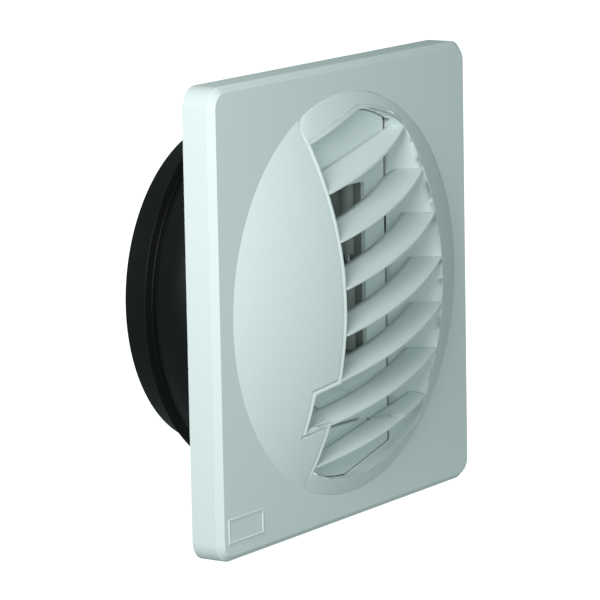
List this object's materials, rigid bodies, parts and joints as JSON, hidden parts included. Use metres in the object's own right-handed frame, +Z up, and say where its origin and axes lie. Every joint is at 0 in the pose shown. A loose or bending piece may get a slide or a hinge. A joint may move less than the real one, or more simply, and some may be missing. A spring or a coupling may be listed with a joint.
{
  "type": "extract air valve",
  "caption": "Square wall or ceiling extract air valve: domed white face, slanted louvres in a clip-in grille, self-acting flow flap inside, and a black rubber lip sleeve for a duct.",
  "frame": {"origin": "on the duct's axis, in the wall plane that the plate's back edge rests on", "axes": "+Y into the wall along the duct, +Z up, +X to the right seen from the room"},
  "size_m": [0.163, 0.0712, 0.163],
  "materials": {
    "white_plastic": "satin moulded",
    "inner_plastic": "satin moulded",
    "black_rubber": "satin",
    "zinc_steel": "zinc plated",
    "spring_steel": "bright drawn"
  },
  "bodies": {
    "valve": {"face_plate": "white_plastic", "grille": "white_plastic", "rear_body": "white_plastic", "plate_screws": "zinc_steel", "rubber_sleeve": "black_rubber", "regulator_cover": "inner_plastic", "regulator_housing": "inner_plastic", "housing_screws": "zinc_steel", "flap_pin": "spring_steel", "flap_spring": "spring_steel", "stop_pads": "black_rubber"},
    "flap": {"regulator_flap": "inner_plastic"}
  },
  "joints": [
    {"name": "flap_hinge", "type": "hinge", "parent": "valve", "child": "flap", "pos_m": [0.0108, -0.005, 0.0075], "axis": [0, 0, 1], "range_deg": [0, 65], "stiffness_Nm_per_rad": 0.002, "deforming": ["flap_spring"]}
  ]
}
